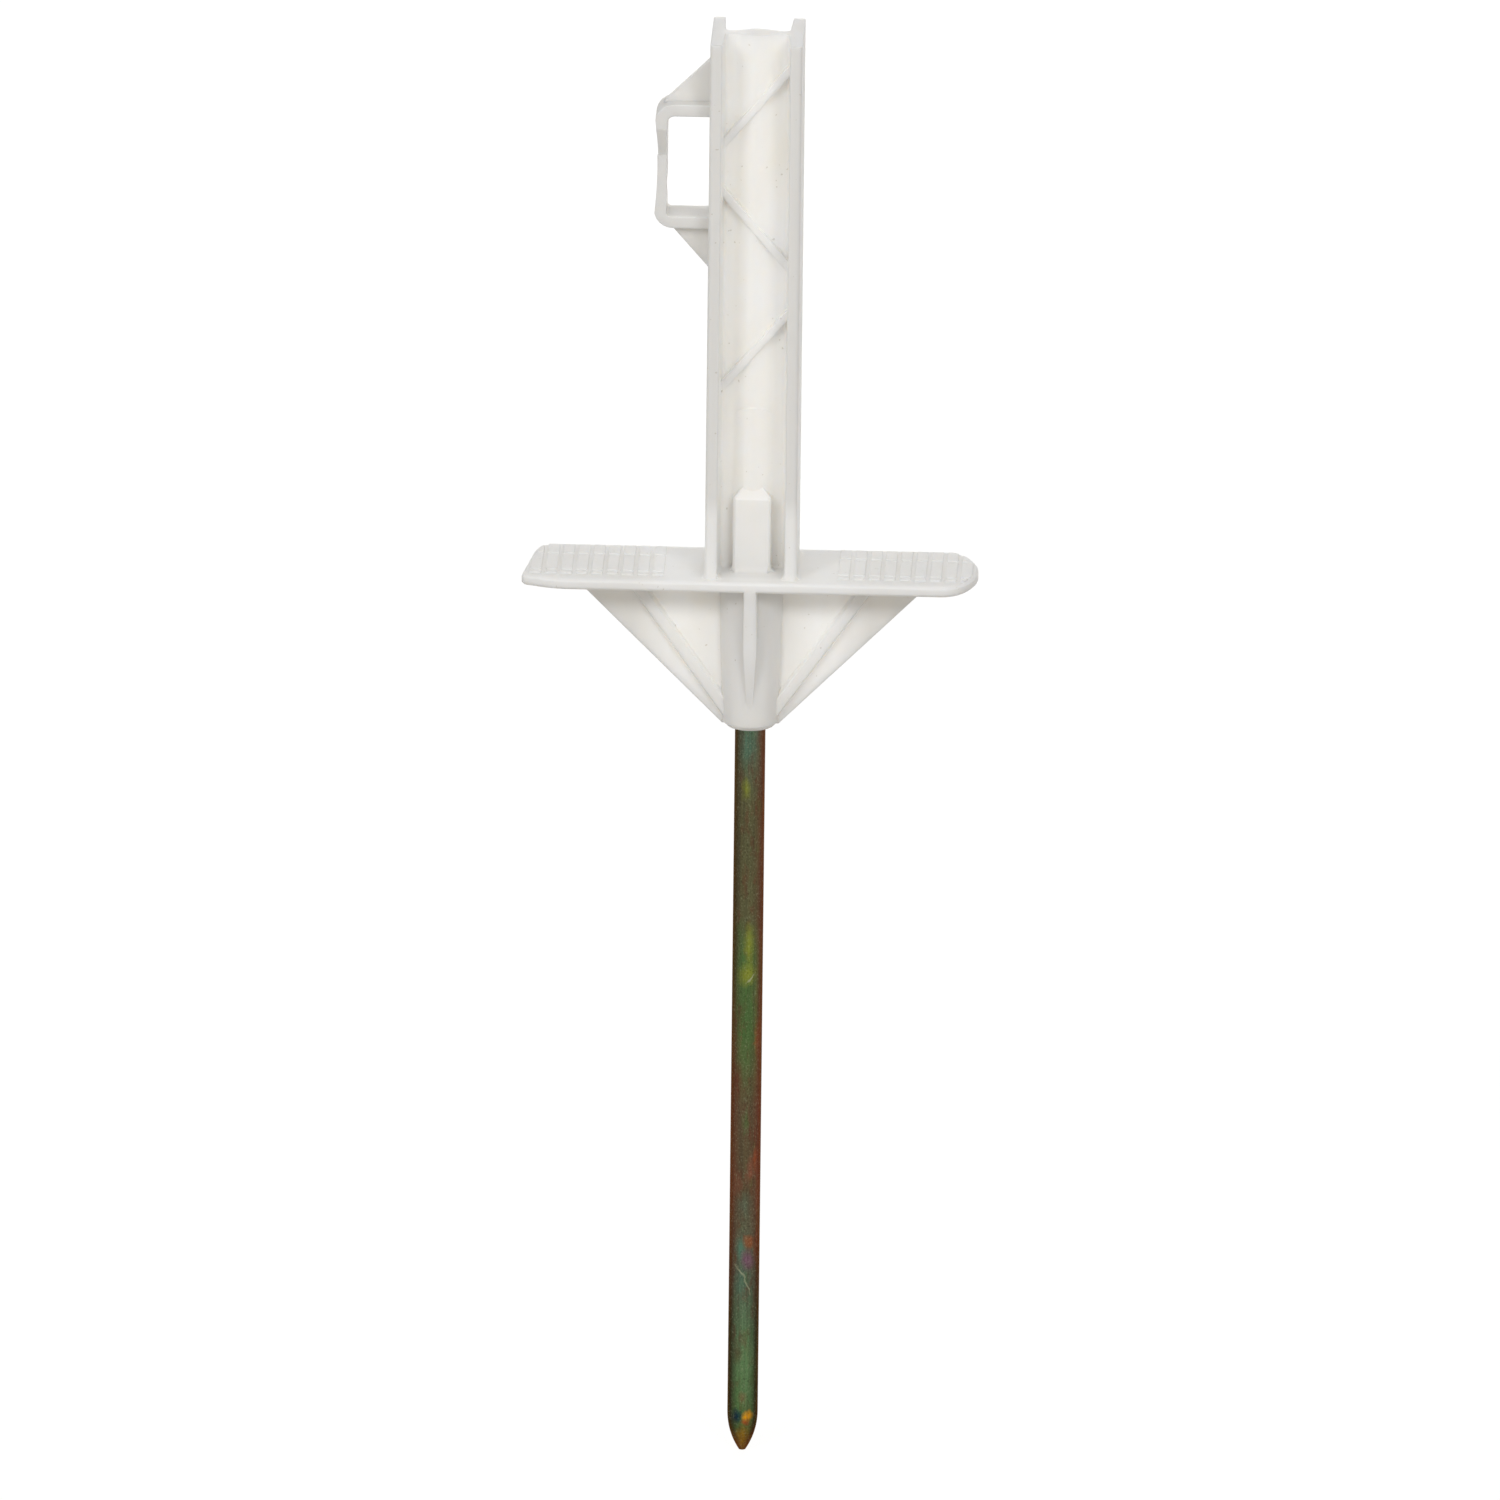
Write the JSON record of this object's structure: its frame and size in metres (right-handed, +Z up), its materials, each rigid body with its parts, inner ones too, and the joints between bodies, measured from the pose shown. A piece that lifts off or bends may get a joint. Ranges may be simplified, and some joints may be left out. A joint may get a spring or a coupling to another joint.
{
  "type": "step-in fence post",
  "caption": "Moulded white tread-in fence post: ribbed H-section, wire eye, treaded foot over ground webs, and a plated steel spike.",
  "frame": {"origin": "on the spike's axis, where the spike leaves the lower end of the moulding", "axes": "+Z up along the post, -Y the front of the channel and of the foot, -X the side of the wire eye"},
  "size_m": [0.119, 0.03, 0.3906],
  "materials": {
    "white_plastic": "satin moulded polypropylene, off-white",
    "plated_steel": "yellow passivated zinc plate, iridescent olive"
  },
  "bodies": {
    "root": {"moulded_post": "white_plastic", "ground_spike": "plated_steel"}
  },
  "joints": []
}
